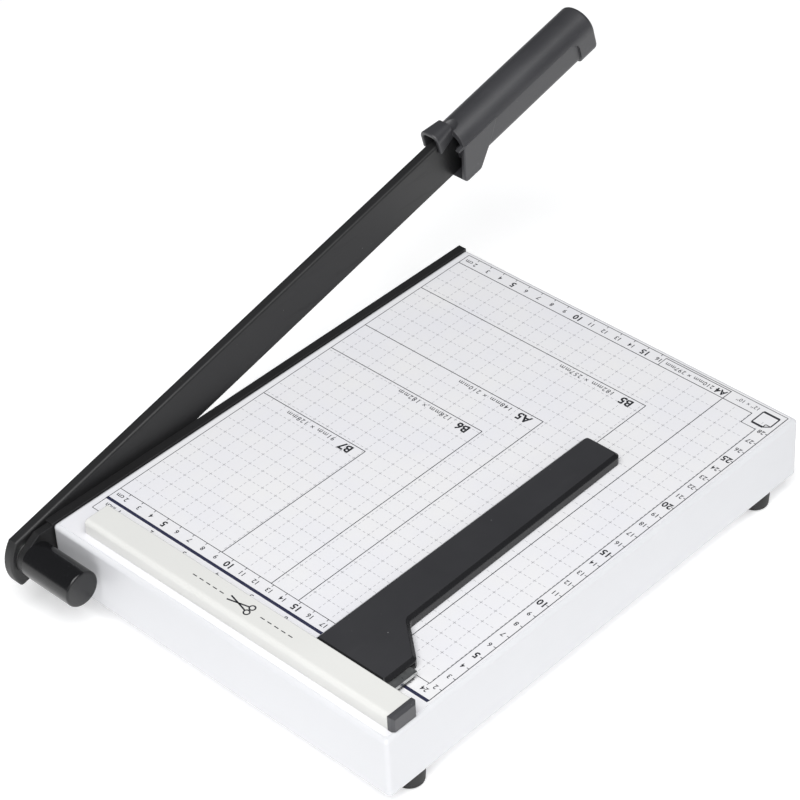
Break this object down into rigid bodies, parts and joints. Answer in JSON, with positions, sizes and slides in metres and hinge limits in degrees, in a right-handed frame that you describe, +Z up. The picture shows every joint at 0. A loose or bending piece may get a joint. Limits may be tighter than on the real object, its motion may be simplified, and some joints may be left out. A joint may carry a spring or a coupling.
{
  "type": "guillotine paper cutter",
  "caption": "Bench paper cutter: white steel bed with a printed size grid, paper stop rail, sliding guide and a pivoting blade arm with a moulded grip.",
  "frame": {"origin": "middle of the underside of the rear right foot, on the table, straight below the paper stop's face", "axes": "+X from the board towards the blade arm, +Y from the operator towards the pivot, +Z up"},
  "size_m": [0.2683, 0.4696, 0.1607],
  "materials": {
    "white_enamel": "semi-gloss",
    "printed_film": "satin",
    "black_enamel": "satin",
    "black_screw": "blackened",
    "zinc_steel": "zinc plated",
    "white_rail": "semi-gloss",
    "black_plastic": "fine satin",
    "foot_rubber": "matt",
    "spring_steel": "bright",
    "bush_brass": "turned",
    "smoked_plastic": "smoked, clear"
  },
  "bodies": {
    "base": {"base_pan": "white_enamel", "bed_label": "printed_film", "fixed_blade": "black_enamel", "fixed_blade_screws": "black_screw", "fixed_blade_washers": "zinc_steel", "fixed_blade_nuts": "zinc_steel", "paper_stop_rail": "white_rail", "rail_end_cap": "black_plastic", "rail_screws": "zinc_steel", "foot_rear_right": "foot_rubber", "foot_rear_left": "foot_rubber", "foot_front_left": "foot_rubber", "foot_front_right": "foot_rubber", "foot_studs": "zinc_steel", "foot_washers": "zinc_steel", "foot_nuts": "zinc_steel", "pivot_bolt": "zinc_steel", "thrust_washer": "zinc_steel", "pivot_spring": "spring_steel", "spring_seat": "zinc_steel", "pivot_nut": "zinc_steel", "pivot_cap": "black_plastic"},
    "arm": {"blade_arm": "black_enamel", "pivot_bush": "bush_brass", "handle": "black_plastic", "handle_screws": "black_screw"},
    "guide": {"paper_guide": "black_plastic", "guide_shoe": "zinc_steel", "guide_cursor": "smoked_plastic", "guide_screws": "zinc_steel", "guide_spring": "spring_steel"}
  },
  "joints": [
    {"name": "arm_hinge", "type": "hinge", "parent": "base", "child": "arm", "pos_m": [0.0155, 0.0373, 0.034], "axis": [-1, 0, 0], "range_deg": [-11.5, 56]},
    {"name": "guide_slide", "type": "slide", "parent": "base", "child": "guide", "axis": [1, 0, 0], "range_m": [-0.013, 0.148]}
  ]
}
